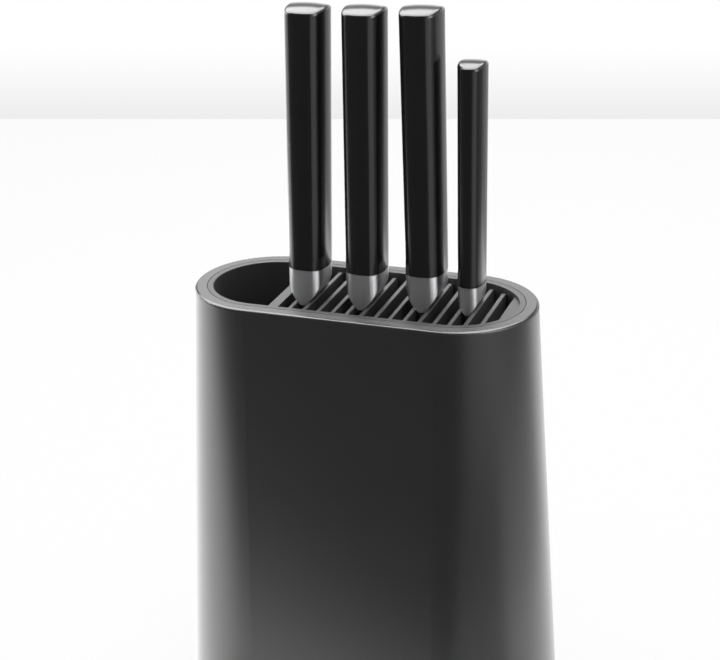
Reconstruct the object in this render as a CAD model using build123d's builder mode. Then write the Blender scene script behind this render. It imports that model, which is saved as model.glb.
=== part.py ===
"""Knife block with a lift-out slotted insert and four kitchen knives.

Millimetres, +Z up. The origin is the middle of the surface that the block stands on, X runs along the
row of slots, and -Y is the front. Each knife is drawn in its own leaning frame: its origin is where the
knife's axis meets the tops of the dividers, its local Z runs up the handle and its local +Y points from
the spine to the cutting edge.
"""
import os
from dataclasses import dataclass
from math import atan, cos, degrees, pi, radians, sin, sqrt, tan

from build123d import *

# Outer shell
block_height = 222.0
rim_length = 170.0
rim_width = 76.0
wall_draft = 3.5
shell_wall = 3.0
shell_rim_land = 5.95
rim_edge_radius = 1.5
foot_edge_radius = 0.8
ledge_width = 1.0
ledge_thickness = 2.5

# Screw bosses inside the shell
boss_radius = 4.5
boss_height = 18.0
boss_wall_overlap = 1.0
boss_spacing = 96.0
pilot_depth = 14.0

# Base plate, feet and screws
plate_thickness = 3.0
plate_clearance = 0.2
foot_radius = 7.5
foot_stand = 1.5
foot_recess = 1.0
foot_rounding = 0.6
foot_margin = 5.0
foot_bearing = 45.0
screw_radius = 1.5
screw_length = 12.0
screw_head_radius = 2.8
screw_head_height = 1.6
screw_clearance = 0.1

# Lift-out insert
parting_gap = 0.3
flange_width = 2.85
flange_thickness = 2.4
seat_clearance = 0.2
insert_clearance = 0.3
collar_depth = 46.0
flange_edge_radius = 0.5
land_recess = 2.0
land_thickness = 2.0
end_land = 6.0
end_web = 2.0
partition_thickness = 4.8
cup_depth = 190.0
cup_floor = 2.0
cup_corner_radius = 3.0

# Dividers and the slots between them
slot_count = 15
slot_gap = 5.1
rib_thickness = 2.0
rib_depth = 42.0
rib_corner_radius = 4.0
rib_top_rounding = 0.35
groove_depth = 0.9
groove_clearance = 0.1

# Knives
blade_thickness = 2.2
edge_thickness = 0.35
tip_width = 0.9
tip_thickness = 0.7
blade_stations = 9
spine_inset = 1.5
heel_room = 3.0
slide_clearance = 0.3
bolster_seat_clearance = 0.2
bolster_step = 0.15
tang_width = 8.0
tang_clearance = 0.1
handle_face_bulge = 1.6
handle_widest_setback = 0.5
butt_edge_rounding = 1.8
# The butt's dome across the handle has this share of the handle's length for its radius
butt_crown_share = 0.55

# The three long knives share one handle, and their bolsters stand up this far above the divider tops
long_bolster_height = 16.4
long_handle_length = 123.9
long_handle_thickness = 18.8
long_handle_width = 22.6
long_butt_thickness = 19.4
long_butt_width = 23.2
long_side_radius = 24.0
long_corner_radius = 6.0
long_butt_dome_radius = 30.0
long_guard_flare = 4.5
long_tang_length = 92.0

# The paring knife has a smaller handle and bolster
short_bolster_height = 11.9
short_handle_length = 104.9
short_handle_thickness = 12.65
short_handle_width = 18.6
short_butt_thickness = 13.25
short_butt_width = 19.2
short_side_radius = 18.0
short_corner_radius = 4.0
short_butt_dome_radius = 25.0
short_guard_flare = 2.5
short_tang_length = 74.0

# Blades: how far spine and edge run straight before they turn to the tip follows from the two powers
chef_blade_length = 200.0
chef_tip_drop = 17.0
chef_spine_power = 4.0
chef_edge_power = 3.0
chef_heel_drop = 9.0
bread_blade_length = 203.0
bread_blade_height = 31.0
bread_tip_drop = 23.0
bread_spine_power = 6.0
bread_edge_power = 5.0
bread_heel_drop = 6.0
carving_blade_length = 200.0
carving_blade_height = 28.0
carving_tip_drop = 6.0
carving_spine_power = 4.0
carving_edge_power = 4.0
carving_heel_drop = 6.0
paring_blade_length = 90.0
paring_blade_height = 20.0
paring_tip_drop = 8.0
paring_spine_power = 3.0
paring_edge_power = 2.5
paring_heel_drop = 4.0

# Teeth of the bread knife
tooth_pitch = 6.5
tooth_radius = 6.0
tooth_depth = 1.3
tooth_margin = 8.0
toothed_share = 0.85

# Where each knife stands: its slot, counted from the compartment, its handle's middle in front of or
# behind the slot's middle, and how far it leans, as a share of the lean that its slot leaves room for
chef_slot = 2
chef_setback = -5.8
chef_lean_share = 0.95
bread_slot = 6
bread_setback = -4.4
bread_lean_share = 0.45
carving_slot = 10
carving_setback = 0.4
carving_lean_share = -0.45
paring_slot = 13
paring_setback = 1.9
paring_lean_share = 0.0

# Heights worked out from the sizes above
rim_z = block_height
shell_bottom_z = foot_stand
seat_z = rim_z - flange_thickness - seat_clearance
deck_under_z = seat_z - ledge_thickness
plate_top_z = shell_bottom_z + plate_thickness
rib_top_z = rim_z - land_recess
collar_bottom_z = rim_z - collar_depth
cup_bottom_z = rim_z - cup_depth

# Outlines, as distances inwards from the rim's outer edge
shell_spread = (rim_z - shell_bottom_z) * tan(radians(wall_draft))
base_length = rim_length + 2 * shell_spread
base_width = rim_width + 2 * shell_spread
ledge_offset = shell_rim_land + ledge_width
flange_offset = shell_rim_land + parting_gap
mouth_offset = flange_offset + flange_width
collar_offset = ledge_offset + insert_clearance
mouth_length = rim_length - 2 * mouth_offset
mouth_width = rim_width - 2 * mouth_offset
straight_half = (rim_length - rim_width) / 2
mouth_radius = mouth_width / 2

# Row of slots, laid out from the closed end towards the compartment
slot_pitch = slot_gap + rib_thickness
rib_count = slot_count - 1
land_x = mouth_length / 2 - end_land
partition_x = land_x - slot_count * slot_gap - rib_count * rib_thickness
compartment_x = partition_x - partition_thickness
shoulder_run = rib_corner_radius - groove_depth
groove_top_z = rib_top_z - rib_corner_radius + sqrt(rib_corner_radius**2 - shoulder_run**2)
lean_room = slot_gap / 2 - blade_thickness / 2 - slide_clearance

# Bosses and feet
boss_wall_y = base_width / 2 - shell_wall - plate_thickness * tan(radians(wall_draft))
boss_y = boss_wall_y + boss_wall_overlap - boss_radius
foot_reach = base_width / 2 - shell_wall - foot_margin - foot_radius
foot_x = straight_half + foot_reach * cos(radians(foot_bearing))
foot_y = foot_reach * sin(radians(foot_bearing))


def slot_x(number):
    """Middle of a slot, counted from the compartment."""
    return partition_x + slot_gap / 2 + (number - 1) * slot_pitch


def rib_x(number):
    """Middle of a divider, counted from the compartment."""
    return slot_x(number) + slot_pitch / 2


def groove_half_length(x):
    """Half the length of the groove pair that holds the divider at x, square-ended within the wall."""
    past_straight = max(0.0, abs(x) + rib_thickness / 2 - straight_half)
    return sqrt((mouth_radius + groove_depth) ** 2 - past_straight**2)


def stadium(offset):
    """Outline of the rim, moved inwards by a distance."""
    return SlotOverall(rim_length - 2 * offset, rim_width - 2 * offset)


def section_between(x_low, x_high, offset):
    """The part of the stadium outline that lies between two places along X."""
    stadium(offset)
    with Locations(((x_low + x_high) / 2, 0)):
        Rectangle(x_high - x_low, rim_width, mode=Mode.INTERSECT)


@dataclass
class Knife:
    """Sizes of one knife, and the frames that it is drawn in."""

    name: str
    slot: int
    setback: float
    lean_share: float
    blade_length: float
    blade_height: float
    tip_drop: float
    spine_power: float
    edge_power: float
    heel_drop: float
    toothed: bool
    bolster_height: float
    handle_length: float
    handle_thickness: float
    handle_width: float
    butt_thickness: float
    butt_width: float
    side_radius: float
    corner_radius: float
    dome_radius: float
    guard_flare: float
    tang_length: float

    @property
    def lean(self):
        """Lean of the knife towards +X, in radians."""
        return atan(self.lean_share * lean_room / rib_depth)

    @property
    def frame(self):
        """Frame of the knife: origin at the divider tops, Z up the handle."""
        return Plane(
            origin=(slot_x(self.slot), self.setback, rib_top_z),
            x_dir=(cos(self.lean), 0, -sin(self.lean)),
            z_dir=(sin(self.lean), 0, cos(self.lean)),
        )

    @property
    def axis(self):
        """Axis of the knife, along which it is drawn out."""
        return Axis(self.frame.origin, self.frame.z_dir)

    @property
    def front_frame(self):
        """The knife's frame turned to draw what the spine side shows: local X and up."""
        return Plane(origin=self.frame.origin, x_dir=self.frame.x_dir, z_dir=-self.frame.y_dir)

    @property
    def side_frame(self):
        """The knife's frame turned to draw its side: spine-to-edge and up."""
        return Plane(origin=self.frame.origin, x_dir=self.frame.y_dir, z_dir=self.frame.x_dir)

    @property
    def seat_half(self):
        """Half the bolster's thickness where it comes to rest on the divider tops."""
        return slot_gap / 2 - bolster_seat_clearance

    @property
    def ogive_radius(self):
        """Radius of the bolster's flanks: upright at the handle, slot-wide at the divider tops."""
        drop = self.bolster_top_half - self.seat_half
        return (self.bolster_height**2 + drop**2) / (2 * drop)

    @property
    def bolster_top_half(self):
        """Half the bolster's thickness at the handle."""
        return self.handle_thickness / 2 - bolster_step

    @property
    def shoulder_z(self):
        """Local height of the blade's shoulder, where the flanks have come in to the blade."""
        drop = self.bolster_top_half - blade_thickness / 2
        return self.bolster_height - sqrt(2 * self.ogive_radius * drop - drop**2)

    @property
    def spine_y(self):
        """Local place of the blade's spine."""
        return spine_inset - self.handle_width / 2

    @property
    def guard_y(self):
        """Local place of the guard's end, on the cutting-edge side."""
        return self.handle_width / 2 - bolster_step + self.guard_flare

    @property
    def heel_z(self):
        """Local height of the heel, where the cutting edge begins."""
        return self.shoulder_z - self.heel_drop

    @property
    def edge_length(self):
        """Length of the cutting edge, from the heel to the tip along the knife's axis."""
        return self.blade_length - self.heel_drop

    def blade_section(self, share):
        """Spine place, edge place, and spine and edge thickness at a share of the way to the tip."""
        heel_edge = self.spine_y + self.blade_height
        tip_edge = self.spine_y + self.tip_drop + tip_width
        spine = self.spine_y + self.tip_drop * share**self.spine_power
        edge = heel_edge + (tip_edge - heel_edge) * share**self.edge_power
        spine_thickness = blade_thickness + (tip_thickness - blade_thickness) * share
        return spine, edge, spine_thickness, min(edge_thickness, spine_thickness)


class HandleSection(BaseSketchObject):
    """Section of a handle: four bulging faces with rounded corners, the sides widest behind the middle."""

    def __init__(self, knife, thickness, width, mode=Mode.ADD):
        corner_y = width / 2 - handle_face_bulge
        flank_x = thickness / 2 - knife.side_radius
        spine_x = flank_x + sqrt(knife.side_radius**2 - (corner_y + handle_widest_setback) ** 2)
        edge_x = flank_x + sqrt(knife.side_radius**2 - (corner_y - handle_widest_setback) ** 2)
        widest = (thickness / 2, handle_widest_setback)
        widest_other_side = (-thickness / 2, handle_widest_setback)
        with BuildSketch() as outline:
            with BuildLine():
                ThreePointArc((spine_x, -corner_y), widest, (edge_x, corner_y))
                ThreePointArc((edge_x, corner_y), (0, width / 2), (-edge_x, corner_y))
                ThreePointArc((-edge_x, corner_y), widest_other_side, (-spine_x, -corner_y))
                ThreePointArc((-spine_x, -corner_y), (0, -width / 2), (spine_x, -corner_y))
            make_face()
            fillet(outline.vertices(), knife.corner_radius)
        super().__init__(obj=outline.sketch, align=None, mode=mode)


class BladeSection(BaseSketchObject):
    """Section of a blade at a share of the way to its tip: thick at the spine, thin at the edge."""

    def __init__(self, knife, share, mode=Mode.ADD):
        spine, edge, spine_thickness, edge_width = knife.blade_section(share)
        with BuildSketch() as outline:
            with BuildLine():
                Polyline(
                    (-spine_thickness / 2, spine),
                    (spine_thickness / 2, spine),
                    (edge_width / 2, edge),
                    (-edge_width / 2, edge),
                    close=True,
                )
            make_face()
        super().__init__(obj=outline.sketch, align=None, mode=mode)


def save(builder, name):
    """Label a finished piece and write it out."""
    builder.part.label = name
    export_step(builder.part, f"parts/{name}.step")


def make_blade(knife):
    """Ground blade with its heel and the tang that runs up into the handle."""
    with BuildPart() as blade:
        with BuildSketch(knife.frame.offset(knife.heel_z)):
            BladeSection(knife, 0.0)
        extrude(amount=knife.heel_drop)
        with BuildSketch(knife.side_frame):
            edge_y = knife.spine_y + knife.blade_height
            with BuildLine():
                Polyline(
                    (edge_y, knife.heel_z),
                    (knife.spine_y, knife.heel_z),
                    (knife.spine_y, knife.shoulder_z),
                    (knife.guard_y, knife.shoulder_z),
                )
                RadiusArc((knife.guard_y, knife.shoulder_z), (edge_y, knife.heel_z), 2 * knife.heel_drop)
            make_face()
        extrude(amount=blade_thickness, both=True, mode=Mode.INTERSECT)
        for station in range(blade_stations):
            share = sin(pi / 2 * station / (blade_stations - 1))
            with BuildSketch(knife.frame.offset(knife.heel_z - share * knife.edge_length)):
                BladeSection(knife, share)
        loft()
        with BuildSketch(knife.frame.offset(knife.shoulder_z)):
            Rectangle(blade_thickness, tang_width)
        extrude(amount=knife.bolster_height - knife.shoulder_z + knife.tang_length)
        if knife.toothed:
            tooth_count = int((toothed_share * knife.edge_length - tooth_margin) // tooth_pitch) + 1
            tooth_places = []
            for tooth in range(tooth_count):
                along = tooth_margin + tooth * tooth_pitch
                edge_y = knife.blade_section(along / knife.edge_length)[1]
                tooth_places.append((edge_y + tooth_radius - tooth_depth, knife.heel_z - along))
            with BuildSketch(knife.side_frame):
                with Locations(tooth_places):
                    Circle(tooth_radius)
            extrude(amount=blade_thickness, both=True, mode=Mode.SUBTRACT)
    save(blade, f"{knife.name}_blade")


def make_bolster(knife):
    """Steel bolster: the handle's section ground in to the blade, with a guard towards the edge."""
    with BuildPart() as bolster:
        length = knife.bolster_height - knife.shoulder_z
        with BuildSketch(knife.frame.offset(knife.shoulder_z)):
            HandleSection(
                knife,
                knife.handle_thickness - 2 * bolster_step,
                knife.handle_width - 2 * bolster_step,
            )
        extrude(amount=length)
        with BuildSketch(knife.side_frame):
            back_y = knife.handle_width / 2 - bolster_step - handle_face_bulge
            flare = knife.guard_y - back_y
            with BuildLine():
                Polyline(
                    (back_y, knife.bolster_height),
                    (0, knife.bolster_height),
                    (0, knife.shoulder_z),
                    (knife.guard_y, knife.shoulder_z),
                )
                RadiusArc(
                    (knife.guard_y, knife.shoulder_z),
                    (back_y, knife.bolster_height),
                    -(length**2 + flare**2) / (2 * flare),
                )
            make_face()
        extrude(amount=knife.handle_thickness / 2 - knife.corner_radius, both=True)
        with BuildSketch(knife.front_frame):
            root_half = blade_thickness / 2
            top_half = knife.bolster_top_half
            root_z = knife.shoulder_z
            top_z = knife.bolster_height
            with BuildLine():
                Line((-root_half, root_z), (root_half, root_z))
                RadiusArc((root_half, root_z), (top_half, top_z), -knife.ogive_radius)
                Line((top_half, top_z), (-top_half, top_z))
                RadiusArc((-top_half, top_z), (-root_half, root_z), -knife.ogive_radius)
            make_face()
        extrude(amount=knife.handle_width + knife.guard_flare, both=True, mode=Mode.INTERSECT)
        with BuildSketch(knife.frame.offset(knife.shoulder_z)):
            Rectangle(blade_thickness + 2 * tang_clearance, tang_width + 2 * tang_clearance)
        extrude(amount=length, mode=Mode.SUBTRACT)
    save(bolster, f"{knife.name}_bolster")


def make_handle(knife):
    """Moulded handle, widening to a butt domed both ways, hollow for the tang."""
    top_z = knife.bolster_height + knife.handle_length
    with BuildPart() as handle:
        with BuildSketch(knife.frame.offset(knife.bolster_height)):
            HandleSection(knife, knife.handle_thickness, knife.handle_width)
        with BuildSketch(knife.frame.offset(top_z)):
            HandleSection(knife, knife.butt_thickness, knife.butt_width)
        loft()
        with BuildSketch(knife.side_frame):
            reach = knife.butt_width / 2 + handle_face_bulge
            shoulder_z = top_z - knife.dome_radius + sqrt(knife.dome_radius**2 - reach**2)
            crown_z = top_z - butt_crown_share * knife.handle_length
            with BuildLine():
                Polyline((-reach, shoulder_z), (-reach, crown_z), (reach, crown_z), (reach, shoulder_z))
                ThreePointArc((reach, shoulder_z), (0, top_z), (-reach, shoulder_z))
            make_face()
        revolve(axis=Axis(knife.frame.offset(crown_z).origin, knife.frame.y_dir), mode=Mode.INTERSECT)
        fillet(handle.faces().sort_by(knife.axis)[-1].edges(), butt_edge_rounding)
        with BuildSketch(knife.frame.offset(knife.bolster_height)):
            Rectangle(blade_thickness + 2 * tang_clearance, tang_width + 2 * tang_clearance)
        extrude(amount=knife.tang_length + tang_clearance, mode=Mode.SUBTRACT)
    save(handle, f"{knife.name}_handle")


os.makedirs("parts", exist_ok=True)

# Outer shell: drafted stadium, hollow from below, with a rebated mouth and screw bosses
with BuildPart() as outer_shell:
    with BuildSketch(Plane.XY.offset(shell_bottom_z)):
        SlotOverall(base_length, base_width)
    extrude(amount=rim_z - shell_bottom_z, taper=wall_draft)
    fillet(outer_shell.edges().group_by(Axis.Z)[-1], rim_edge_radius)
    fillet(outer_shell.edges().group_by(Axis.Z)[0], foot_edge_radius)
    with BuildSketch(Plane.XY.offset(shell_bottom_z)):
        SlotOverall(base_length - 2 * shell_wall, base_width - 2 * shell_wall)
    extrude(amount=deck_under_z - shell_bottom_z, taper=wall_draft, mode=Mode.SUBTRACT)
    with BuildSketch(Plane.XY.offset(deck_under_z)):
        stadium(ledge_offset)
    extrude(amount=rim_z - deck_under_z, mode=Mode.SUBTRACT)
    with BuildSketch(Plane.XY.offset(seat_z)):
        stadium(shell_rim_land)
    extrude(amount=rim_z - seat_z, mode=Mode.SUBTRACT)
    with BuildSketch(Plane.XY.offset(plate_top_z)):
        with GridLocations(boss_spacing, 2 * boss_y, 2, 2):
            Circle(boss_radius)
    extrude(amount=boss_height)
    with BuildSketch(Plane.XY.offset(plate_top_z)):
        with GridLocations(boss_spacing, 2 * boss_y, 2, 2):
            Circle(screw_radius + screw_clearance)
    extrude(amount=pilot_depth, mode=Mode.SUBTRACT)
save(outer_shell, "outer_shell")

# Base plate: closes the shell from below, countersunk for the screws and recessed for the feet
with BuildPart() as base_plate:
    with BuildSketch(Plane.XY.offset(shell_bottom_z)):
        inset = shell_wall + plate_clearance
        SlotOverall(base_length - 2 * inset, base_width - 2 * inset)
    extrude(amount=plate_thickness, taper=wall_draft)
    with BuildSketch(Plane.XY.offset(shell_bottom_z)):
        with GridLocations(2 * foot_x, 2 * foot_y, 2, 2):
            Circle(foot_radius + plate_clearance)
    extrude(amount=foot_recess, mode=Mode.SUBTRACT)
    with BuildSketch(Plane.XY.offset(shell_bottom_z)):
        with GridLocations(boss_spacing, 2 * boss_y, 2, 2):
            Circle(screw_radius + screw_clearance)
    extrude(amount=plate_thickness, mode=Mode.SUBTRACT)
    with BuildSketch(Plane.XY.offset(shell_bottom_z)):
        with GridLocations(boss_spacing, 2 * boss_y, 2, 2):
            Circle(screw_head_radius + screw_clearance)
    extrude(amount=screw_head_height + screw_clearance, mode=Mode.SUBTRACT)
save(base_plate, "base_plate")

# Rubber feet, each let into the base plate
foot_places = [(x, y) for x in (-foot_x, foot_x) for y in (-foot_y, foot_y)]
for number, place in enumerate(foot_places, start=1):
    with BuildPart() as rubber_foot:
        with BuildSketch(Plane.XY):
            with Locations(place):
                Circle(foot_radius)
        extrude(amount=foot_stand + foot_recess)
        fillet(rubber_foot.edges().group_by(Axis.Z)[0], foot_rounding)
    save(rubber_foot, f"rubber_foot_{number}")

# Screws that hold the base plate to the bosses
with BuildPart() as base_screws:
    with BuildSketch(Plane.XY.offset(shell_bottom_z)):
        with GridLocations(boss_spacing, 2 * boss_y, 2, 2):
            Circle(screw_head_radius)
    extrude(amount=screw_head_height)
    with BuildSketch(Plane.XY.offset(shell_bottom_z + screw_head_height)):
        with GridLocations(boss_spacing, 2 * boss_y, 2, 2):
            Circle(screw_radius)
    extrude(amount=screw_length)
save(base_screws, "base_screws")

# Insert frame: flange and collar, compartment cup, closed end land, and grooves for the dividers
with BuildPart() as insert_frame:
    with BuildSketch(Plane.XY.offset(rim_z - flange_thickness)):
        stadium(flange_offset)
    extrude(amount=flange_thickness)
    with BuildSketch(Plane.XY.offset(collar_bottom_z)):
        stadium(collar_offset)
    extrude(amount=collar_depth)
    with BuildSketch(Plane.XY.offset(cup_bottom_z)):
        section_between(-rim_length / 2, partition_x, collar_offset)
    extrude(amount=cup_depth - collar_depth)
    fillet(insert_frame.edges().group_by(Axis.Z)[0], cup_corner_radius)
    with BuildSketch(Plane.XY.offset(rib_top_z)):
        stadium(mouth_offset)
    extrude(amount=land_recess, mode=Mode.SUBTRACT)
    with BuildSketch(Plane.XY.offset(cup_bottom_z + cup_floor)):
        section_between(-rim_length / 2, compartment_x, mouth_offset)
    extrude(amount=cup_depth, mode=Mode.SUBTRACT)
    with BuildSketch(Plane.XY.offset(collar_bottom_z)):
        section_between(partition_x, land_x, mouth_offset)
    extrude(amount=collar_depth, mode=Mode.SUBTRACT)
    with BuildSketch(Plane.XY.offset(collar_bottom_z)):
        section_between(land_x + end_web, rim_length / 2, mouth_offset)
    extrude(amount=collar_depth - land_recess - land_thickness, mode=Mode.SUBTRACT)
    for number in range(1, slot_count):
        with BuildSketch(Plane.XY.offset(collar_bottom_z)):
            with Locations((rib_x(number), 0)):
                Rectangle(rib_thickness + 2 * groove_clearance, 2 * groove_half_length(rib_x(number)))
        extrude(amount=groove_top_z - collar_bottom_z, mode=Mode.SUBTRACT)
    fillet(insert_frame.faces().sort_by(Axis.Z)[-1].inner_wires()[0].edges(), flange_edge_radius)
save(insert_frame, "insert_frame")

# Dividers: round-shouldered plates pushed up into the grooves from below
for number in range(1, slot_count):
    x = rib_x(number)
    half_length = groove_half_length(x) - groove_clearance
    with BuildPart() as slot_rib:
        with BuildSketch(Plane.YZ.offset(x)):
            with Locations((0, rib_top_z - rib_depth / 2)):
                Rectangle(2 * half_length, rib_depth)
        extrude(amount=rib_thickness / 2, both=True)
        fillet(slot_rib.edges().filter_by(Axis.X).group_by(Axis.Z)[-1], rib_corner_radius)
        fillet(slot_rib.faces().sort_by(Axis.Z)[-1].edges().filter_by(Axis.Y), rib_top_rounding)
    save(slot_rib, f"slot_rib_{number:02d}")

long_handle = dict(
    bolster_height=long_bolster_height,
    handle_length=long_handle_length,
    handle_thickness=long_handle_thickness,
    handle_width=long_handle_width,
    butt_thickness=long_butt_thickness,
    butt_width=long_butt_width,
    side_radius=long_side_radius,
    corner_radius=long_corner_radius,
    dome_radius=long_butt_dome_radius,
    guard_flare=long_guard_flare,
    tang_length=long_tang_length,
)
short_handle = dict(
    bolster_height=short_bolster_height,
    handle_length=short_handle_length,
    handle_thickness=short_handle_thickness,
    handle_width=short_handle_width,
    butt_thickness=short_butt_thickness,
    butt_width=short_butt_width,
    side_radius=short_side_radius,
    corner_radius=short_corner_radius,
    dome_radius=short_butt_dome_radius,
    guard_flare=short_guard_flare,
    tang_length=short_tang_length,
)
chef_spine_y = chef_setback - long_handle_width / 2 + spine_inset
knives = [
    Knife(
        name="chef",
        slot=chef_slot,
        setback=chef_setback,
        lean_share=chef_lean_share,
        blade_length=chef_blade_length,
        blade_height=mouth_radius - heel_room - chef_spine_y,
        tip_drop=chef_tip_drop,
        spine_power=chef_spine_power,
        edge_power=chef_edge_power,
        heel_drop=chef_heel_drop,
        toothed=False,
        **long_handle,
    ),
    Knife(
        name="bread",
        slot=bread_slot,
        setback=bread_setback,
        lean_share=bread_lean_share,
        blade_length=bread_blade_length,
        blade_height=bread_blade_height,
        tip_drop=bread_tip_drop,
        spine_power=bread_spine_power,
        edge_power=bread_edge_power,
        heel_drop=bread_heel_drop,
        toothed=True,
        **long_handle,
    ),
    Knife(
        name="carving",
        slot=carving_slot,
        setback=carving_setback,
        lean_share=carving_lean_share,
        blade_length=carving_blade_length,
        blade_height=carving_blade_height,
        tip_drop=carving_tip_drop,
        spine_power=carving_spine_power,
        edge_power=carving_edge_power,
        heel_drop=carving_heel_drop,
        toothed=False,
        **long_handle,
    ),
    Knife(
        name="paring",
        slot=paring_slot,
        setback=paring_setback,
        lean_share=paring_lean_share,
        blade_length=paring_blade_length,
        blade_height=paring_blade_height,
        tip_drop=paring_tip_drop,
        spine_power=paring_spine_power,
        edge_power=paring_edge_power,
        heel_drop=paring_heel_drop,
        toothed=False,
        **short_handle,
    ),
]
for knife in knives:
    make_blade(knife)
    make_bolster(knife)
    make_handle(knife)
    print(knife.name, "leans", round(degrees(knife.lean), 3), "degrees")
    print("from", knife.frame.origin, "along", knife.frame.z_dir)
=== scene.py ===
"""Looks of the knife block: finishes, turned screws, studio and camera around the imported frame.

Sizes are in metres and angles in radians. Colours and levels of light are linear, and 1 shows as white.
"""
import logging
import math
from dataclasses import dataclass, field, replace
from enum import Enum
from typing import Any, Dict, List, Optional, Sequence, Tuple, Union

import bpy
from mathutils import Matrix, Vector


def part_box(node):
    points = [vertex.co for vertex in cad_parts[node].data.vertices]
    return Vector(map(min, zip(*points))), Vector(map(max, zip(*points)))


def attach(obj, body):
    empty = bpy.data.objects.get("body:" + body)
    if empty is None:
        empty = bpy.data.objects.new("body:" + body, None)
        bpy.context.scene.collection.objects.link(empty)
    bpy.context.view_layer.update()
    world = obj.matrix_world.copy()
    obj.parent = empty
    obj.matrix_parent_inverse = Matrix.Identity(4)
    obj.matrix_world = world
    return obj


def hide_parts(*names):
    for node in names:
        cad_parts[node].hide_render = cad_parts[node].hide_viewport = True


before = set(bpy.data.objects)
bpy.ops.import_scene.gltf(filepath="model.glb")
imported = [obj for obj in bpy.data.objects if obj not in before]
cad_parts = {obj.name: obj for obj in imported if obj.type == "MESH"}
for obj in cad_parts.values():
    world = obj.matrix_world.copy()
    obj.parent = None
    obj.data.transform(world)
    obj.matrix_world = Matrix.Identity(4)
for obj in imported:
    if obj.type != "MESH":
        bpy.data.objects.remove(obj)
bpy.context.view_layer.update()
LOG = logging.getLogger("knife_block")

IMAGE_WIDTH = 720
IMAGE_HEIGHT = 660
SENSOR_WIDTH = 36.0

# The value about which noise swings, and how many finer layers a cloud has.
NOISE_MIDDLE = 0.5
CLOUD_DETAIL = 3.0

# Rays that look for an edge, and how far the normal leans where its painted sheen and gloss start and where
# they are full.
EDGE_SAMPLES = 4
EDGE_FROM = 0.01
EDGE_FULL = 0.25

# Height over which the wall's finish turns into the rim's.
LAND_BLEND = 0.00004

# Share of a full turn that lays smeared reflections along a knife.
QUARTER_TURN = 0.25

# How far a card lies above the floor.
CARD_HEIGHT = 0.0005

RGB = Tuple[float, float, float]
RGBA = Tuple[float, float, float, float]
Point = Tuple[float, float, float]
Spot = Tuple[float, float]
Value = Union["Term", List["Term"], float, int, Sequence[float], bpy.types.Material]


def rgba(colour: RGB) -> RGBA:
    """Give a colour its opaque alpha."""
    return (*colour, 1.0)


def grey(level: float) -> RGBA:
    """Give a grey of one level its opaque alpha."""
    return rgba((level, level, level))


def shaded(colour: RGB, share: float) -> RGBA:
    """Darken or brighten a colour by a share."""
    return rgba(tuple(channel * share for channel in colour))


def lifted(colour: RGB, amount: float) -> RGBA:
    """Pale a colour by an amount."""
    return rgba(tuple(channel + amount for channel in colour))


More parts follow.
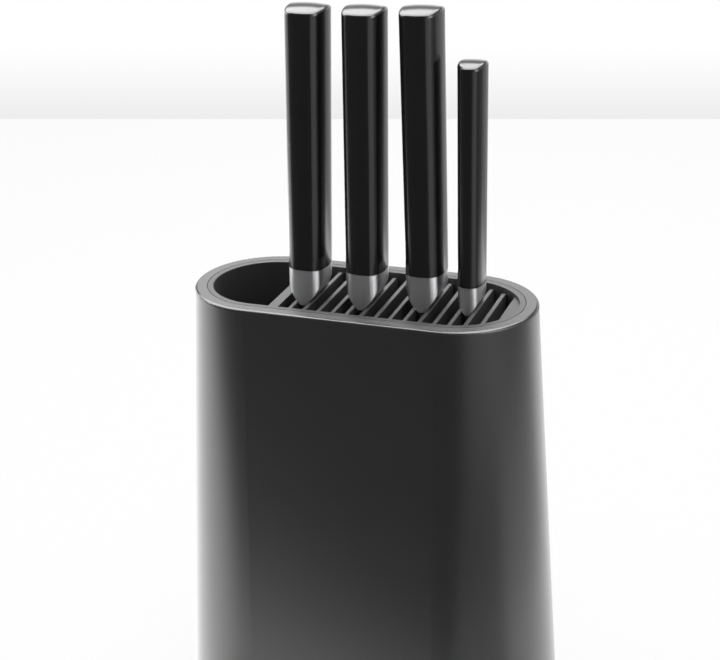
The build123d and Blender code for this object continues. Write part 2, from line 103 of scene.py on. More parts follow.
class Graph:
    """A node tree that is written as expressions."""

    def __init__(self, tree: bpy.types.NodeTree) -> None:
        """Take an empty tree.

        Args:
            tree: the shader, world or geometry tree that the nodes go into.
        """
        self.tree = tree

    @staticmethod
    def socket(sockets: Any, key: Union[int, str]) -> bpy.types.NodeSocket:
        """Find a socket by its place, its identifier or its name.

        Args:
            sockets: a node's inputs or outputs.
            key: place, identifier or name.

        Returns:
            The socket.
        """
        if isinstance(key, int):
            return sockets[key]
        for candidate in sockets:
            if candidate.identifier == key:
                return candidate
        return sockets[key]

    def plug(self, value: Value, socket: bpy.types.NodeSocket) -> None:
        """Link to a socket, or set a plain value on it.

        Args:
            value: a term, a list of terms that the socket joins, or a plain value.
            socket: the input that gets it.
        """
        if isinstance(value, Term):
            self.tree.links.new(value.output, socket)
        elif isinstance(value, list):
            for term in value:
                self.plug(term, socket)
        else:
            socket.default_value = value

    def add(
        self,
        kind: str,
        settings: Optional[Dict[str, Any]] = None,
        inputs: Optional[Dict[Union[int, str], Value]] = None,
        out: Union[int, str] = 0,
    ) -> "Term":
        """Add one node.

        Args:
            kind: the node's type.
            settings: its properties, set first.
            inputs: values or links of its sockets.
            out: the output that the term stands for.

        Returns:
            The term for that output.
        """
        node = self.tree.nodes.new(kind)
        for name, value in (settings or {}).items():
            setattr(node, name, value)
        for key, value in (inputs or {}).items():
            self.plug(value, self.socket(node.inputs, key))
        return Term(self, self.socket(node.outputs, out) if len(node.outputs) else None)

    def outputs(self, kind: str) -> Dict[str, "Term"]:
        """Add one node of which several outputs are used.

        Args:
            kind: the node's type.

        Returns:
            A term for each named output.
        """
        node = self.add(kind).output.node
        return {socket.name: Term(self, socket) for socket in node.outputs if socket.name}

    def mix(self, share: Value, low: Value, high: Value) -> "Term":
        """Mix two colours.

        Args:
            share: 0 for the first colour, 1 for the second.
            low: the first colour.
            high: the second colour.

        Returns:
            The mixed colour.
        """
        return self.add(
            "ShaderNodeMix",
            {"data_type": "RGBA"},
            {"Factor_Float": share, "A_Color": low, "B_Color": high},
            "Result_Color",
        )

    def dot(self, first: Value, second: Value) -> "Term":
        """Dot product of two vectors.

        Args:
            first: a vector.
            second: another vector.

        Returns:
            The product, as a value.
        """
        return self.add(
            "ShaderNodeVectorMath", {"operation": "DOT_PRODUCT"}, {0: first, 1: second}, "Value"
        )

    def noise(self, place: "Term", scale: float, detail: float = 2.0, rough: float = 0.5) -> "Term":
        """Noise at a place.

        Args:
            place: the coordinates.
            scale: waves to a metre.
            detail: how many finer layers are added.
            rough: how strong the finer layers are.

        Returns:
            A value about NOISE_MIDDLE.
        """
        return self.add(
            "ShaderNodeTexNoise",
            {"noise_dimensions": "3D"},
            {"Vector": place, "Scale": scale, "Detail": detail, "Roughness": rough},
            "Fac",
        )

    def stretched(self, place: "Term", scale: Point) -> "Term":
        """Scale a place unevenly, for lines.

        Args:
            place: the coordinates.
            scale: the scale along each axis.

        Returns:
            The scaled coordinates.
        """
        return self.add(
            "ShaderNodeMapping", {"vector_type": "POINT"}, {"Vector": place, "Scale": scale}
        )

    def bump(self, height: "Term", depth: float) -> "Term":
        """Turn a height into a normal.

        Args:
            height: the relief, from 0 to 1.
            depth: how deep the relief is.

        Returns:
            The normal.
        """
        return self.add(
            "ShaderNodeBump", None, {"Strength": 1.0, "Distance": depth, "Height": height}
        )


class Term:
    """A socket that takes part in Python expressions; each one adds its Math node."""

    def __init__(self, graph: Graph, output: Optional[bpy.types.NodeSocket]) -> None:
        """Wrap a node's output; a tree's last node has none."""
        self.graph = graph
        self.output = output

    def _math(self, operation: str, first: Value, second: Value) -> "Term":
        """Add one Math node."""
        return self.graph.add("ShaderNodeMath", {"operation": operation}, {0: first, 1: second})

    def __add__(self, other: Value) -> "Term":
        """Sum."""
        return self._math("ADD", self, other)

    __radd__ = __add__

    def __sub__(self, other: Value) -> "Term":
        """Difference."""
        return self._math("SUBTRACT", self, other)

    def __rsub__(self, other: Value) -> "Term":
        """Difference from a plain value."""
        return self._math("SUBTRACT", other, self)

    def __mul__(self, other: Value) -> "Term":
        """Product."""
        return self._math("MULTIPLY", self, other)

    __rmul__ = __mul__

    def __truediv__(self, other: Value) -> "Term":
        """Quotient."""
        return self._math("DIVIDE", self, other)

    def __rtruediv__(self, other: Value) -> "Term":
        """Quotient of a plain value."""
        return self._math("DIVIDE", other, self)

    def __pow__(self, other: Value) -> "Term":
        """Power."""
        return self._math("POWER", self, other)

    def __rpow__(self, other: Value) -> "Term":
        """Power of a plain value."""
        return self._math("POWER", other, self)

    def either(self, other: Value) -> "Term":
        """The larger of two values."""
        return self._math("MAXIMUM", self, other)

    def between(self, low: float, high: float) -> "Term":
        """A smooth step.

        Args:
            low: where it leaves 0.
            high: where it reaches 1.

        Returns:
            The step's value.
        """
        return self.graph.add(
            "ShaderNodeMapRange",
            {"interpolation_type": "SMOOTHSTEP"},
            {"Value": self, "From Min": low, "From Max": high},
        )


def empty_material(name: str) -> Tuple[bpy.types.Material, Graph]:
    """Make a material without nodes.

    Args:
        name: the material's name.

    Returns:
        The material and its tree.
    """
    made = bpy.data.materials.new(name)
    made.use_nodes = True
    made.node_tree.nodes.clear()
    return made, Graph(made.node_tree)


def add_to_scene(name: str, data: bpy.types.ID) -> bpy.types.Object:
    """Make an object and link it to the scene.

    Args:
        name: the object's name.
        data: its mesh, lamp or camera.

    Returns:
        The object.
    """
    made = bpy.data.objects.new(name, data)
    bpy.context.scene.collection.objects.link(made)
    return made


class GrainRun(Enum):
    """The way that ground lines run on a steel piece."""

    ACROSS_BLADE = "across"
    ALONG_KNIFE = "along"


@dataclass(frozen=True)
class Finish:
    """A surface finish that can be put on pieces."""

    name: str
    colour: RGB
    roughness: float

    def material(self) -> bpy.types.Material:
        """Build the finish's material.

        Returns:
            A material with a shader and an output.
        """
        made, graph = empty_material(self.name)
        place = graph.add("ShaderNodeTexCoord", out="Object")
        shader = graph.add("ShaderNodeBsdfPrincipled", None, self.sockets(graph, place), "BSDF")
        graph.add("ShaderNodeOutputMaterial", None, {"Surface": shader})
        return made

    def sockets(self, graph: Graph, place: Term) -> Dict[str, Value]:
        """Work out what the shader's sockets get.

        Args:
            graph: the material's tree.
            place: the piece's own coordinates, in metres.

        Returns:
            Values and links by socket name.
        """
        raise NotImplementedError

    @staticmethod
    def edge(graph: Graph, radius: float) -> Term:
        """Find how near an edge a point is.

        Args:
            graph: the material's tree.
            radius: how far from the edge it shows.

        Returns:
            From 0 on a flat to about 1 on a corner.
        """
        rounded = graph.add("ShaderNodeBevel", {"samples": EDGE_SAMPLES}, {"Radius": radius}, "Normal")
        plain = graph.add("ShaderNodeNewGeometry", out="Normal")
        return (1.0 - graph.dot(rounded, plain)).between(EDGE_FROM, EDGE_FULL)


@dataclass(frozen=True)
class RimLandPaintedSheen:
    """The flat land on top of a wall, rougher than the wall and painted paler than the wall's same plastic as
    a painted sheen where light falls on top, with a glossy arris below it.

    start is the height at which the land begins, which the dressing sets.
    """

    colour: RGB
    roughness: float
    arris_depth: float
    arris_rough: float
    start: float = 0.0

    def lay(self, graph: Graph, place: Term, body: Term, rough: Term, wall_rough: float) -> Tuple[Term, Term]:
        """Lay the land, with its painted sheen, and its arris over a wall's looks.

        Args:
            graph: the material's tree.
            place: the piece's own coordinates.
            body: the wall's colour.
            rough: the wall's roughness at each point.
            wall_rough: the wall's mean roughness.

        Returns:
            Colour and roughness with the land in them.
        """
        height = graph.add("ShaderNodeSeparateXYZ", None, {"Vector": place}, "Z")
        land = height.between(self.start, self.start + LAND_BLEND)
        arris_start = self.start - self.arris_depth
        arris = height.between(arris_start, arris_start + LAND_BLEND)
        # The land's paler colour is a painted sheen: the wall's own plastic, lightened on top where light
        # falls.
        body = graph.mix(land, body, rgba(self.colour))
        rough = rough + arris * (self.arris_rough - wall_rough) + land * (self.roughness - self.arris_rough)
        return body, rough


@dataclass(frozen=True)
class MouldedPlastic(Finish):
    """Moulded plastic: a fine spark-eroded grain, soft clouds from the mould, and glossier edges that are
    paled by a painted sheen.
    """

    specular: float
    grain_size: float
    grain_depth: float
    cloud_size: float
    cloud_share: float
    cloud_rough: float
    edge_radius: float
    edge_sheen_share: float
    edge_gloss: float = 0.04
    grain_rough: float = 0.05
    land: Optional[RimLandPaintedSheen] = None

    def sockets(self, graph: Graph, place: Term) -> Dict[str, Value]:
        """Put grain in the bump, clouds in colour and gloss, edges paled by a painted sheen, and a land with
        its painted sheen where there is one.

        Args:
            graph: the material's tree.
            place: the piece's own coordinates, in metres.

        Returns:
            Values and links by socket name.
        """
        cloud = graph.noise(place, 1.0 / self.cloud_size, CLOUD_DETAIL)
        grain = graph.noise(place, 1.0 / self.grain_size)
        edge = self.edge(graph, self.edge_radius)
        dark = shaded(self.colour, 1.0 - self.cloud_share)
        pale = shaded(self.colour, 1.0 + self.cloud_share)
        body = graph.mix(cloud, dark, pale)
        rough = (
            self.roughness
            + (cloud - NOISE_MIDDLE) * self.cloud_rough
            + (grain - NOISE_MIDDLE) * self.grain_rough
            - edge * self.edge_gloss
        )
        if self.land:
            body, rough = self.land.lay(graph, place, body, rough, self.roughness)
        return {
            # The edges are paled by a painted sheen.
            "Base Color": graph.mix(edge, body, lifted(self.colour, self.edge_sheen_share)),
            "Roughness": rough,
            "Normal": graph.bump(grain, self.grain_depth),
            "Specular IOR Level": self.specular,
        }


@dataclass(frozen=True)
class GroundSteel(Finish):
    """Ground stainless steel: fine lines in colour, gloss and bump, with a faint cloud of handling."""

    run: GrainRun
    line_pitch: float
    line_length: float
    line_depth: float
    line_rough: float
    smear: float = 0.0
    line_detail: float = 3.0
    line_sharpness: float = 0.6
    line_dark: float = 0.93
    line_pale: float = 1.05
    cloud_scale: float = 60.0
    cloud_rough: float = 0.05

    def sockets(self, graph: Graph, place: Term) -> Dict[str, Value]:
        """Run the lines one way; smear draws reflections out along the knife.

        Args:
            graph: the material's tree.
            place: the piece's own coordinates, in metres.

        Returns:
            Values and links by socket name.
        """
        fine, long = 1.0 / self.line_pitch, 1.0 / self.line_length
        scales = {
            GrainRun.ACROSS_BLADE: (fine, long, fine),
            GrainRun.ALONG_KNIFE: (fine, fine, long),
        }
        run = graph.stretched(place, scales[self.run])
        lines = graph.noise(run, 1.0, self.line_detail, self.line_sharpness)
        cloud = graph.noise(place, self.cloud_scale)
        rough = (
            self.roughness
            + (lines - NOISE_MIDDLE) * self.line_rough
            + (cloud - NOISE_MIDDLE) * self.cloud_rough
        )
        dark, pale = shaded(self.colour, self.line_dark), shaded(self.colour, self.line_pale)
        return {
            "Base Color": graph.mix(lines, dark, pale),
            "Metallic": 1.0,
            "Roughness": rough,
            "Normal": graph.bump(lines, self.line_depth),
            "Anisotropic": self.smear,
            "Anisotropic Rotation": QUARTER_TURN,
        }


@dataclass(frozen=True)
class SoftRubber(Finish):
    """Rubber: matt and speckled, dusty in patches."""

    speck_size: float
    speck_depth: float = 0.00004
    speck_rough: float = 0.12
    dust_scale: float = 220.0
    dust_from: float = 0.5
    dust_full: float = 0.75
    dust_share: float = 0.6
    dust_lift: float = 0.03
    specular: float = 0.35

    def sockets(self, graph: Graph, place: Term) -> Dict[str, Value]:
        """Put dust in the colour, and specks in gloss and bump.

        Args:
            graph: the material's tree.
            place: the piece's own coordinates, in metres.

        Returns:
            Values and links by socket name.
        """
        speck = graph.noise(place, 1.0 / self.speck_size)
        dust = graph.noise(place, self.dust_scale, CLOUD_DETAIL).between(self.dust_from, self.dust_full)
        dusty = lifted(self.colour, self.dust_lift)
        return {
            "Base Color": graph.mix(dust * self.dust_share, rgba(self.colour), dusty),
            "Roughness": self.roughness + (speck - NOISE_MIDDLE) * self.speck_rough,
            "Normal": graph.bump(speck, self.speck_depth),
            "Specular IOR Level": self.specular,
        }


# The rim land's colour is a painted sheen, paler than the wall's same plastic where light falls on top; its
# roughness and the arris's gloss are the finish.
RIM_PAINTED_SHEEN = RimLandPaintedSheen(colour=(0.055, 0.055, 0.0555), roughness=0.5, arris_depth=0.0006, arris_rough=0.16)
SHELL = MouldedPlastic(
    "shell_plastic",
    colour=(0.0135, 0.0135, 0.0138),
    roughness=0.34,
    specular=0.5,
    grain_size=0.0006,
    grain_depth=0.000004,
    cloud_size=0.05,
    cloud_share=0.12,
    cloud_rough=0.05,
    edge_radius=0.0008,
    edge_sheen_share=0.012,
)
# The insert is the shell's black plastic painted paler: painted fill light that lifts its shaded compartments
# and rib tops.
INSERT_PAINTED_FILL = MouldedPlastic(
    "insert_plastic",
    colour=(0.024, 0.024, 0.0243),
    roughness=0.5,
    specular=0.5,
    grain_size=0.0005,
    grain_depth=0.000004,
    cloud_size=0.03,
    cloud_share=0.12,
    cloud_rough=0.06,
    edge_radius=0.0005,
    edge_sheen_share=0.02,
)
BASE = MouldedPlastic(
    "base_plastic",
    colour=(0.02, 0.02, 0.0205),
    roughness=0.55,
    specular=0.4,
    grain_size=0.0007,
    grain_depth=0.00001,
    cloud_size=0.04,
    cloud_share=0.15,
    cloud_rough=0.06,
    edge_radius=0.0006,
    edge_sheen_share=0.012,
)
HANDLE = MouldedPlastic(
    "handle_plastic",
    colour=(0.0065, 0.0065, 0.0068),
    roughness=0.2,
    specular=0.5,
    grain_size=0.0008,
    grain_depth=0.0000015,
    cloud_size=0.025,
    cloud_share=0.15,
    cloud_rough=0.05,
    edge_radius=0.0004,
    edge_sheen_share=0.008,
)
BLADE = GroundSteel(
    "blade_steel",
    colour=(0.62, 0.62, 0.63),
    roughness=0.26,
    run=GrainRun.ACROSS_BLADE,
    line_pitch=0.0004,
    line_length=0.02,
    line_depth=0.000004,
    line_rough=0.14,
)
BOLSTER = GroundSteel(
    "bolster_steel",
    colour=(0.52, 0.52, 0.53),
    roughness=0.31,
    run=GrainRun.ALONG_KNIFE,
    line_pitch=0.0011,
    line_length=0.03,
    line_depth=0.000012,
    line_rough=0.1,
    smear=0.9,
)
SCREW = GroundSteel(
    "screw_steel",
    colour=(0.55, 0.55, 0.56),
    roughness=0.3,
    run=GrainRun.ALONG_KNIFE,
    line_pitch=0.0003,
    line_length=0.004,
    line_depth=0.000003,
    line_rough=0.12,
)
RUBBER = SoftRubber("foot_rubber", colour=(0.012, 0.012, 0.012), roughness=0.78, speck_size=0.0005)


def dress(node: str, material: bpy.types.Material) -> None:
    """Put a material on a CAD node.

    Args:
        node: the node's name.
        material: the finish that it gets.
    """
    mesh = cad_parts[node].data
    mesh.materials.clear()
    mesh.materials.append(material)
    LOG.info("dressed %s in %s", node, material.name)


@dataclass
class Block:
    """The shell with its base plate and feet."""

    feet: int = 4

    def dress(self) -> None:
        """Finish the shell with the land and its painted sheen on its rim, the base plate and each foot."""
        top = max(corner.co.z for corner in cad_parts["outer_shell"].data.vertices)
        # The rim land carries a painted sheen in its colour.
        rim = replace(RIM_PAINTED_SHEEN, start=top - LAND_BLEND)
        dress("outer_shell", replace(SHELL, land=rim).material())
        dress("base_plate", BASE.material())
        rubber = RUBBER.material()
        for number in range(1, self.feet + 1):
            dress(f"rubber_foot_{number}", rubber)


@dataclass
class BaseScrews:
    """The screws under the base, with a cross recess and a thread, laid out by Geometry Nodes."""

    body: str = "block"
    node: str = "base_screws"
    head_radius: float = 0.0028
    head_height: float = 0.0016
    head_sides: int = 32
    recess_length: float = 0.0034
    recess_width: float = 0.0007
    recess_depth: float = 0.001
    shank_radius: float = 0.0015
    core_share: float = 0.78
    core_sides: int = 16
    core_taper: float = 0.55
    thread_turns: float = 9.0
    thread_steps: int = 16
    thread_start: float = 0.9
    thread_end: float = 0.62
    thread_reach: float = 0.94
    wire_share: float = 0.1
    wire_sides: int = 5
    length: float = 0.0
    places: List[Point] = field(default_factory=list)

    def find_places(self) -> None:
        """Take the screws' places and length from the CAD node's box."""
        low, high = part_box(self.node)
        x = high.x - self.head_radius
        y = high.y - self.head_radius
        self.places = [(sx * x, sy * y, low.z) for sx in (-1, 1) for sy in (-1, 1)]
        self.length = high.z - low.z

    def sizes(self) -> Dict[str, float]:
        """List the sizes that the node tree takes.

        Returns:
            Each size by the name of its input.
        """
        return {
            "Head Radius": self.head_radius,
            "Head Height": self.head_height,
            "Core Radius": self.shank_radius * self.core_share,
            "Thread Radius": self.shank_radius,
            "Length": self.length,
        }

    def head(self, graph: Graph, given: Dict[str, Term]) -> Term:
        """Turn a head with a cross recess.

        Args:
            graph: the screws' tree.
            given: the tree's inputs.

        Returns:
            The head, standing on the screw's place.
        """
        head = graph.add(
            "GeometryNodeMeshCylinder",
            {"fill_type": "NGON"},
            {"Vertices": self.head_sides, "Radius": given["Head Radius"], "Depth": given["Head Height"]},
            "Mesh",
        )
        middle = graph.add("ShaderNodeCombineXYZ", None, {"Z": given["Head Height"] * 0.5})
        head = graph.add("GeometryNodeTransform", None, {"Geometry": head, "Translation": middle})
        for size in (
            (self.recess_length, self.recess_width, 2 * self.recess_depth),
            (self.recess_width, self.recess_length, 2 * self.recess_depth),
        ):
            bit = graph.add("GeometryNodeMeshCube", None, {"Size": size}, "Mesh")
            head = graph.add(
                "GeometryNodeMeshBoolean",
                {"operation": "DIFFERENCE", "solver": "EXACT"},
                {"Mesh 1": head, "Mesh 2": bit},
                "Mesh",
            )
        return head

    def shank(self, graph: Graph, given: Dict[str, Term]) -> List[Term]:
        """Turn a tapered core and wind a thread on it.

        Args:
            graph: the screws' tree.
            given: the tree's inputs.

        Returns:
            The thread and the core, on top of the head.
        """
        run = given["Length"] - given["Head Height"]
        start = graph.add("ShaderNodeCombineXYZ", None, {"Z": given["Head Height"]})
        core = graph.add(
            "GeometryNodeMeshCone",
            {"fill_type": "NGON"},
            {
                "Vertices": self.core_sides,
                "Radius Top": given["Core Radius"] * self.core_taper,
                "Radius Bottom": given["Core Radius"],
                "Depth": run,
            },
            "Mesh",
        )
        spiral = graph.add(
            "GeometryNodeCurveSpiral",
            None,
            {
                "Resolution": self.thread_steps,
                "Rotations": self.thread_turns,
                "Start Radius": given["Thread Radius"] * self.thread_start,
                "End Radius": given["Thread Radius"] * self.thread_end,
                "Height": run * self.thread_reach,
            },
        )
        core, spiral = (
            graph.add("GeometryNodeTransform", None, {"Geometry": part, "Translation": start})
            for part in (core, spiral)
        )
        wire = graph.add(
            "GeometryNodeCurvePrimitiveCircle",
            None,
            {"Resolution": self.wire_sides, "Radius": given["Thread Radius"] * self.wire_share},
            "Curve",
        )
        thread = graph.add(
            "GeometryNodeCurveToMesh", None, {"Curve": spiral, "Profile Curve": wire, "Fill Caps": True}
        )
        return [thread, core]

    def tree(self, material: bpy.types.Material) -> bpy.types.NodeTree:
        """Build the node tree that puts a screw on each point.

        Args:
            material: the screws' finish.

        Returns:
            The tree, with its sizes as named inputs.
        """
        tree = bpy.data.node_groups.new("base_screw_rows", "GeometryNodeTree")
        ports = tree.interface
        ports.new_socket("Geometry", in_out="INPUT", socket_type="NodeSocketGeometry")
        for name in self.sizes():
            ports.new_socket(name, in_out="INPUT", socket_type="NodeSocketFloat")
        ports.new_socket("Geometry", in_out="OUTPUT", socket_type="NodeSocketGeometry")
        graph = Graph(tree)
        given = graph.outputs("NodeGroupInput")
        pieces = [*self.shank(graph, given), self.head(graph, given)]
        screw = graph.add("GeometryNodeJoinGeometry", None, {"Geometry": pieces})
        placed = graph.add(
            "GeometryNodeInstanceOnPoints", None, {"Points": given["Geometry"], "Instance": screw}
        )
        real = graph.add("GeometryNodeRealizeInstances", None, {"Geometry": placed})
        done = graph.add("GeometryNodeSetMaterial", None, {"Geometry": real, "Material": material})
        graph.add("NodeGroupOutput", None, {"Geometry": done})
        return tree

    def build(self) -> bpy.types.Object:
        """Make the screws and let them stand for the CAD node.

        Returns:
            The finished piece.
        """
        self.find_places()
        points = bpy.data.meshes.new("base_screw_places")
        points.from_pydata(self.places, [], [])
        maker = add_to_scene("base_screw_maker", points)
        modifier = maker.modifiers.new("screws", "NODES")
        modifier.node_group = self.tree(SCREW.material())
        sizes = self.sizes()
        for item in modifier.node_group.interface.items_tree:
            if item.in_out == "INPUT" and item.name in sizes:
                modifier[item.identifier] = sizes[item.name]
        graph = bpy.context.evaluated_depsgraph_get()
        mesh = bpy.data.meshes.new_from_object(maker.evaluated_get(graph))
        bpy.data.objects.remove(maker)
        piece = add_to_scene("base_screws_turned", mesh)
        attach(piece, self.body)
        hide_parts(self.node)
        LOG.info("built %s with %d faces", piece.name, len(mesh.polygons))
        return piece


@dataclass
class SlotInsert:
    """The lift-out insert: its frame and the dividers between the slots."""

    dividers: int = 14

    def dress(self) -> None:
        """Finish the frame and every divider in the insert plastic, which is painted paler by fill light."""
        plastic = INSERT_PAINTED_FILL.material()
        dress("insert_frame", plastic)
        for number in range(1, self.dividers + 1):
            dress(f"slot_rib_{number:02d}", plastic)


@dataclass
class KitchenKnives:
    """The knives: blade, bolster and handle of each."""

    names: Tuple[str, ...] = ("chef", "bread", "carving", "paring")

    def dress(self) -> None:
        """Finish each knife's pieces."""
        blade, bolster, handle = BLADE.material(), BOLSTER.material(), HANDLE.material()
        for name in self.names:
            dress(f"{name}_blade", blade)
            dress(f"{name}_bolster", bolster)
            dress(f"{name}_handle", handle)


@dataclass
class StudioCamera:
    """The camera, given by its angles and its place about the middle of the rim.

    aside, above and away lead from the camera to the middle of the rim, in the picture's own directions before
    it is rolled.
    """

    focal_px: float = 1587.85
    pitch: float = math.radians(22.7134)
    yaw: float = math.radians(19.8296)
    roll: float = math.radians(-1.4543)
    aside: float = 0.002209
    above: float = 0.0183423
    away: float = 0.761494
    nearest: float = 0.01
    farthest: float = 50.0

    def axes(self) -> Tuple[Vector, Vector, Vector]:
        """Work out the picture's directions.

        Returns:
            Right, up and forward.
        """
        cy, sy = math.cos(self.yaw), math.sin(self.yaw)
        cp, sp = math.cos(self.pitch), math.sin(self.pitch)
        cr, sr = math.cos(self.roll), math.sin(self.roll)
        right = Vector((cy, sy, 0.0))
        up = Vector((-sy * sp, cy * sp, cp))
        forward = Vector((-sy * cp, cy * cp, -sp))
        return cr * right + sr * up, cr * up - sr * right, forward

    def place(self) -> Vector:
        """Work out where the camera stands.

        Returns:
            The camera's place.
        """
        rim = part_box("outer_shell")[1].z
        cp, sp = math.cos(self.pitch), math.sin(self.pitch)
        ahead = -self.away * cp - self.above * sp
        height = self.away * sp - self.above * cp
        cy, sy = math.cos(self.yaw), math.sin(self.yaw)
        return Vector((-cy * self.aside - sy * ahead, cy * ahead - sy * self.aside, rim + height))

    def rise(self, line: float) -> float:
        """Slope above the picture's middle at which a line of pixels is seen."""
        return (IMAGE_HEIGHT / 2 - line) / self.focal_px

    def floor_point(self, column: float, line: float) -> Vector:
        """Find where the floor is seen at a pixel.

        Args:
            column: pixels from the picture's left side.
            line: pixels from its top.

        Returns:
            The place on the floor.
        """
        right, up, forward = self.axes()
        way = forward + (column - IMAGE_WIDTH / 2) / self.focal_px * right + self.rise(line) * up
        start = self.place()
        return start - start.z / way.z * way

    def build(self) -> bpy.types.Object:
        """Make the camera and give it to the scene.

        Returns:
            The camera.
        """
        data = bpy.data.cameras.new("studio_camera")
        data.sensor_fit = "HORIZONTAL"
        data.sensor_width = SENSOR_WIDTH
        data.lens = self.focal_px / IMAGE_WIDTH * SENSOR_WIDTH
        data.clip_start = self.nearest
        data.clip_end = self.farthest
        camera = add_to_scene("studio_camera", data)
        right, up, forward = self.axes()
        turn = Matrix((right, up, -forward)).transposed().to_4x4()
        camera.matrix_world = Matrix.Translation(self.place()) @ turn
        bpy.context.scene.camera = camera
        return camera


@dataclass
class SoftBox:
    """A soft rectangular lamp."""

    name: str
    place: Point
    target: Point
    size: Tuple[float, float]
    power: float

    def build(self) -> bpy.types.Object:
        """Make the lamp, facing its target.

        Returns:
            The lamp.
        """
        data = bpy.data.lights.new(self.name, "AREA")
        data.shape = "RECTANGLE"
        data.size, data.size_y = self.size
        data.energy = self.power
        lamp = add_to_scene(self.name, data)
        lamp.location = self.place
        lamp.rotation_mode = "QUATERNION"
        lamp.rotation_quaternion = (Vector(self.target) - Vector(self.place)).to_track_quat("-Z", "Y")
        lamp.visible_camera = False
        lamp.visible_glossy = False
        return lamp


@dataclass(frozen=True)
class Fade:
    """How a card's glow falls off from one place to another."""

    bright: Point
    dim: Point
    dim_level: float
    steepness: float

    def colours(self, graph: Graph, bright_level: float) -> Term:
        """Work out the glow at each point of the card.

        Args:
            graph: the card's tree.
            bright_level: the glow at the bright end.

        Returns:
            The glow as a grey, which stays the same beyond both ends.
        """
        run = Vector(self.bright) - Vector(self.dim)
        place = graph.add("ShaderNodeTexCoord", out="Object")
        along = graph.dot(place, run / run.length_squared)
        start = Vector(self.dim).dot(run) / run.length_squared
        share = (along - start).between(0.0, 1.0) ** self.steepness
        return graph.mix(share, grey(self.dim_level), grey(bright_level))


@dataclass
class Card:
    """A flat card that only reflections see."""

    name: str
    corners: Tuple[Point, ...]
    level: float
    fade: Optional[Fade] = None

    def build(self) -> bpy.types.Object:
        """Make the card, glowing at its level or along its fade.

        Returns:
            The card.
        """
        mesh = bpy.data.meshes.new(self.name)
        mesh.from_pydata(list(self.corners), [], [tuple(range(len(self.corners)))])
        paint, graph = empty_material(self.name)
        colour = self.fade.colours(graph, self.level) if self.fade else grey(self.level)
        glow = graph.add("ShaderNodeEmission", None, {"Color": colour, "Strength": 1.0})
        graph.add("ShaderNodeOutputMaterial", None, {"Surface": glow})
        mesh.materials.append(paint)
        card = add_to_scene(self.name, mesh)
        card.visible_camera = False
        card.visible_diffuse = False
        card.visible_shadow = False
        card.visible_transmission = False
        return card


def lying(*spots: Spot, height: float = CARD_HEIGHT) -> Tuple[Point, ...]:
    """Lay a card flat.

    Args:
        spots: its corners from above.
        height: how high it lies, just above the floor if nothing else is said.

    Returns:
        The corners.
    """
    return tuple((x, y, height) for x, y in spots)


def standing(start: Spot, end: Spot, low: float, high: float) -> Tuple[Point, ...]:
    """Stand a card upright.

    Args:
        start: one end of it from above.
        end: the other end.
        low: height of its lower side.
        high: height of its upper side.

    Returns:
        The corners.
    """
    return (*start, low), (*end, low), (*end, high), (*start, high)


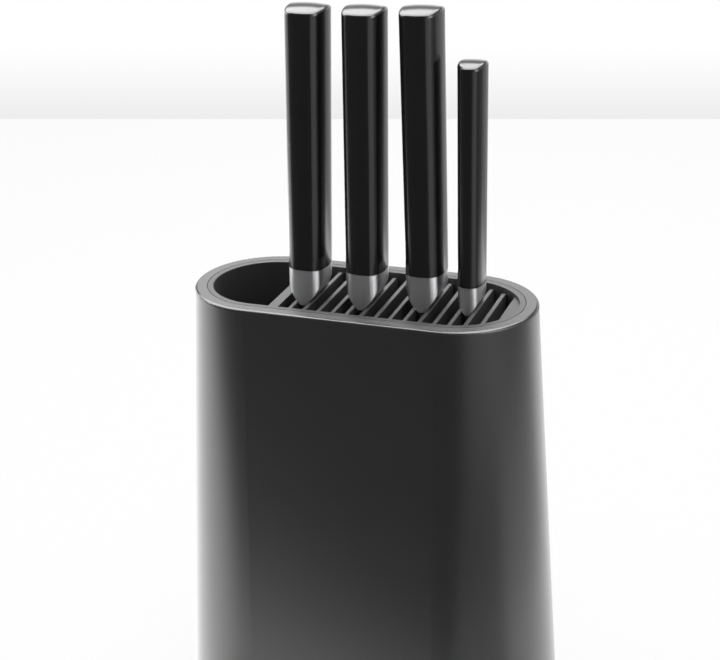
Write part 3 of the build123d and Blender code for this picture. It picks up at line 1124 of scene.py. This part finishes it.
# What the dark plastic and the steel mirror: a floor that is bright beside the block and falls off towards the
# front, a lit ceiling, and dimmer walls. Reflections alone see it, so it adds nothing to the plain colours.
CARDS = (
    Card(
        "front_floor",
        lying((0.05, -0.1), (0.745, -1.4), (-0.34, -1.4), (-0.34, 0.6), (0.0, 0.6), (0.0, -0.02)),
        level=3.6,
        fade=Fade(bright=(0.0, 0.0, 0.0), dim=(0.112, -0.224, 0.0), dim_level=0.12, steepness=1.85),
    ),
    Card(
        "left_floor",
        lying((-0.34, -1.4), (-0.34, 0.6), (-0.9, 0.6), (-0.9, -1.4)),
        level=3.6,
        fade=Fade(bright=(0.0, -0.17, 0.0), dim=(0.0, -0.45, 0.0), dim_level=0.12, steepness=1.7),
    ),
    Card(
        "left_far_floor",
        lying((-3.0, -0.5), (-0.9, -0.35), (-0.9, 0.6), (0.0, 0.6), (0.0, 3.0), (-3.0, 3.0)),
        level=1.8,
    ),
    Card("front_left_far", lying((-3.0, -1.4), (-0.9, -1.4), (-0.9, -0.35), (-3.0, -0.5)), level=0.16),
    Card(
        "ceiling",
        lying((-2.2, -0.45), (0.8, -0.45), (0.8, 1.48), (-2.2, 1.48), height=1.36),
        level=12.0,
        fade=Fade(bright=(0.0, -0.2, 0.0), dim=(0.0, 1.48, 0.0), dim_level=6.3, steepness=1.0),
    ),
    Card(
        "foot_ring",
        lying((-0.09, -0.085), (0.145, -0.085), (0.145, 0.0), (-0.09, 0.0), height=0.001),
        level=1.0,
    ),
    Card("back_glow", standing((-1.2, 1.7), (1.2, 1.7), 0.3, 0.75), level=1.6),
    Card("left_side", standing((-3.0, -0.6), (-3.0, 2.4), 0.0, 1.36), level=5.0),
    Card("right_side", standing((1.0, -0.8), (1.0, -0.05), 0.25, 1.1), level=6.0),
    Card("back_wall", standing((-3.0, 1.7), (3.0, 1.7), 0.75, 1.42), level=0.55),
    Card("front_wall", standing((-3.0, -1.4), (0.745, -1.4), 0.0, 2.2), level=0.13),
    Card(
        "front_right_foot",
        lying((0.05, -0.1), (0.12, -0.2), (0.25, -0.1), (0.21, -0.068), (0.05, -0.016)),
        level=1.2,
    ),
    Card(
        "front_right_near",
        lying((0.12, -0.2), (0.25, -0.465), (0.5, -0.163), (0.21, -0.068), (0.25, -0.1)),
        level=0.38,
    ),
    Card(
        "front_right_strip",
        lying((0.25, -0.465), (0.745, -1.4), (1.52, -0.494), (0.5, -0.163)),
        level=1.05,
    ),
    Card("right_foot", lying((0.05, -0.016), (0.24, -0.078), (0.24, 0.2), (0.04, 0.03)), level=2.4),
    Card("right_near", lying((0.24, -0.078), (0.6, -0.195), (0.6, 0.5), (0.24, 0.2)), level=1.5),
    Card("right_far", lying((0.6, -0.195), (3.0, -0.975), (3.0, 2.5), (0.6, 0.5)), level=0.3),
    Card(
        "back_near",
        lying((0.04, 0.03), (0.24, 0.2), (0.6, 0.5), (0.6, 0.6), (0.0, 0.6), (0.0, 0.03)),
        level=2.4,
    ),
    Card(
        "back_far",
        lying((0.0, 0.6), (0.6, 0.6), (0.6, 0.5), (3.0, 2.5), (3.0, 3.0), (0.0, 3.0)),
        level=0.75,
    ),
)
LAMPS = (
    SoftBox("back_box", place=(-0.12, 0.8, 1.25), target=(0.0, 0.0, 0.25), size=(1.3, 0.8), power=7.0),
    SoftBox("top_box", place=(0.0, -0.1, 1.3), target=(0.0, 0.0, 0.2), size=(1.0, 0.8), power=7.5),
)


@dataclass
class Studio:
    """Floor, cards, lamps and the white surround.

    floor_line, the floor's far edge, and haze_top are pixels from the picture's top. floor_overrun is how many
    pixels the far edge runs past each side. haze_below starts the haze under the far edge, as a share of the
    haze's height, and least_ahead keeps its slope finite where a ray doesn't run ahead.
    """

    camera: StudioCamera
    floor_colour: RGB = (0.8, 0.8, 0.8)
    floor_white: float = 0.88
    floor_line: float = 119.0
    floor_overrun: float = 700.0
    floor_front: float = -4.0
    haze_top: float = 35.0
    haze_below: float = 0.4
    haze_share: float = 0.19
    least_ahead: float = 0.05
    surround: float = 0.6
    lamps: Tuple[SoftBox, ...] = LAMPS
    cards: Tuple[Card, ...] = CARDS

    def haze(self, graph: Graph) -> Term:
        """Grey the surround just above the floor's far edge.

        Args:
            graph: the world's tree.

        Returns:
            From 1 at the floor's far edge to 0 higher up.
        """
        _, up, forward = self.camera.axes()
        way = graph.add("ShaderNodeTexCoord", out="Generated")
        height = graph.dot(way, up) / graph.dot(way, forward).either(self.least_ahead)
        low, high = (self.camera.rise(line) for line in (self.floor_line, self.haze_top))
        return 1.0 - height.between(low - (high - low) * self.haze_below, high)

    def world(self) -> None:
        """Light the object evenly, and show white where the surround is seen."""
        world = bpy.data.worlds.new("studio_surround")
        world.use_nodes = True
        world.node_tree.nodes.clear()
        graph = Graph(world.node_tree)
        rays = graph.outputs("ShaderNodeLightPath")
        seen = rays["Is Camera Ray"].either(rays["Is Glossy Ray"]).either(rays["Is Transmission Ray"])
        level = self.surround + seen * (1.0 - self.surround)
        level = level - rays["Is Camera Ray"] * self.haze(graph) * self.haze_share
        light = graph.add("ShaderNodeBackground", None, {"Color": grey(1.0), "Strength": level})
        graph.add("ShaderNodeOutputWorld", None, {"Surface": light})
        bpy.context.scene.world = world

    def floor(self) -> None:
        """Lay a plain pale floor that shows white, up to a far edge that is level in the picture."""
        far_left = self.camera.floor_point(-self.floor_overrun, self.floor_line)
        far_right = self.camera.floor_point(IMAGE_WIDTH + self.floor_overrun, self.floor_line)
        near_left = (far_left.x, self.floor_front, 0.0)
        near_right = (far_right.x, self.floor_front, 0.0)
        mesh = bpy.data.meshes.new("studio_floor")
        mesh.from_pydata([near_left, near_right, far_right, far_left], [], [(0, 1, 2, 3)])
        paint, graph = empty_material("pale_floor")
        matt = graph.add("ShaderNodeBsdfDiffuse", None, {"Color": rgba(self.floor_colour)})
        white = graph.add("ShaderNodeEmission", None, {"Color": grey(1.0), "Strength": 1.0})
        shown = graph.add("ShaderNodeLightPath", out="Is Camera Ray") * self.floor_white
        both = graph.add("ShaderNodeMixShader", None, {0: shown, 1: matt, 2: white})
        graph.add("ShaderNodeOutputMaterial", None, {"Surface": both})
        mesh.materials.append(paint)
        floor = add_to_scene("studio_floor", mesh)
        floor.visible_glossy = False

    def build(self) -> None:
        """Set the whole studio up."""
        self.world()
        self.floor()
        for card in self.cards:
            card.build()
        for lamp in self.lamps:
            lamp.build()
        bpy.context.scene.view_settings.view_transform = "Standard"


def main() -> None:
    """Build the camera, the studio and every piece, in order."""
    logging.basicConfig(level=logging.INFO, format="%(name)s: %(message)s")
    camera = StudioCamera()
    camera.build()
    Studio(camera).build()
    Block().dress()
    BaseScrews().build()
    SlotInsert().dress()
    KitchenKnives().dress()


if __name__ == "__main__":
    main()
